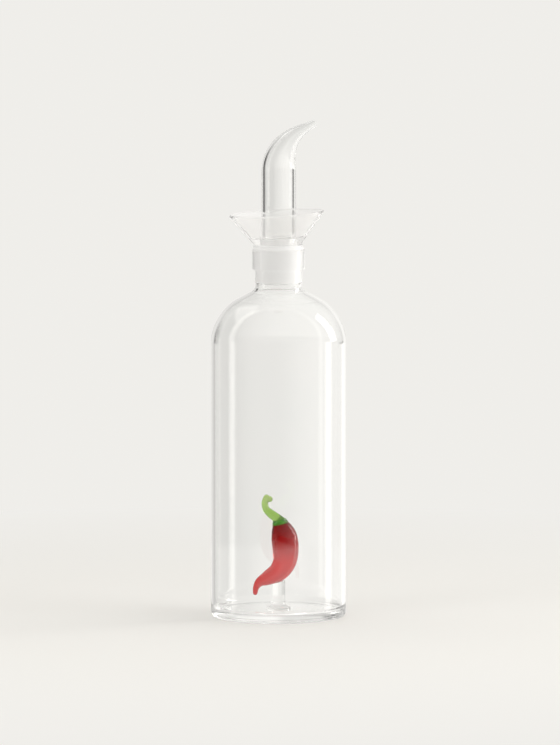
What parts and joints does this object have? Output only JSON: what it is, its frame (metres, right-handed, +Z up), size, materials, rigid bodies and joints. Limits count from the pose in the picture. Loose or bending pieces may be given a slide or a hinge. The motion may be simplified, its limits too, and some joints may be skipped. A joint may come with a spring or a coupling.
{
  "type": "olive oil bottle",
  "caption": "Clear glass oil bottle with a red glass chilli standing inside, a milky plug with a drip funnel, and a bent glass pouring spout.",
  "frame": {"origin": "centre of the round base, at the level of the table", "axes": "+Z up along the bottle, +X towards the side on which the spout pours, +Y away from the front"},
  "size_m": [0.07, 0.07, 0.2588],
  "materials": {
    "clear_glass": "clear, polished",
    "red_glass": "deep red, glossy",
    "green_glass": "mid green, glossy",
    "pale_green_glass": "light yellow-green, glossy",
    "milky_plastic": "hazy, see-through where thin",
    "spout_glass": "clear, polished"
  },
  "bodies": {
    "root": {"bottle": "clear_glass", "chilli_body": "red_glass", "chilli_calyx": "green_glass", "chilli_stem": "pale_green_glass", "stopper": "milky_plastic", "spout": "spout_glass"}
  },
  "joints": []
}
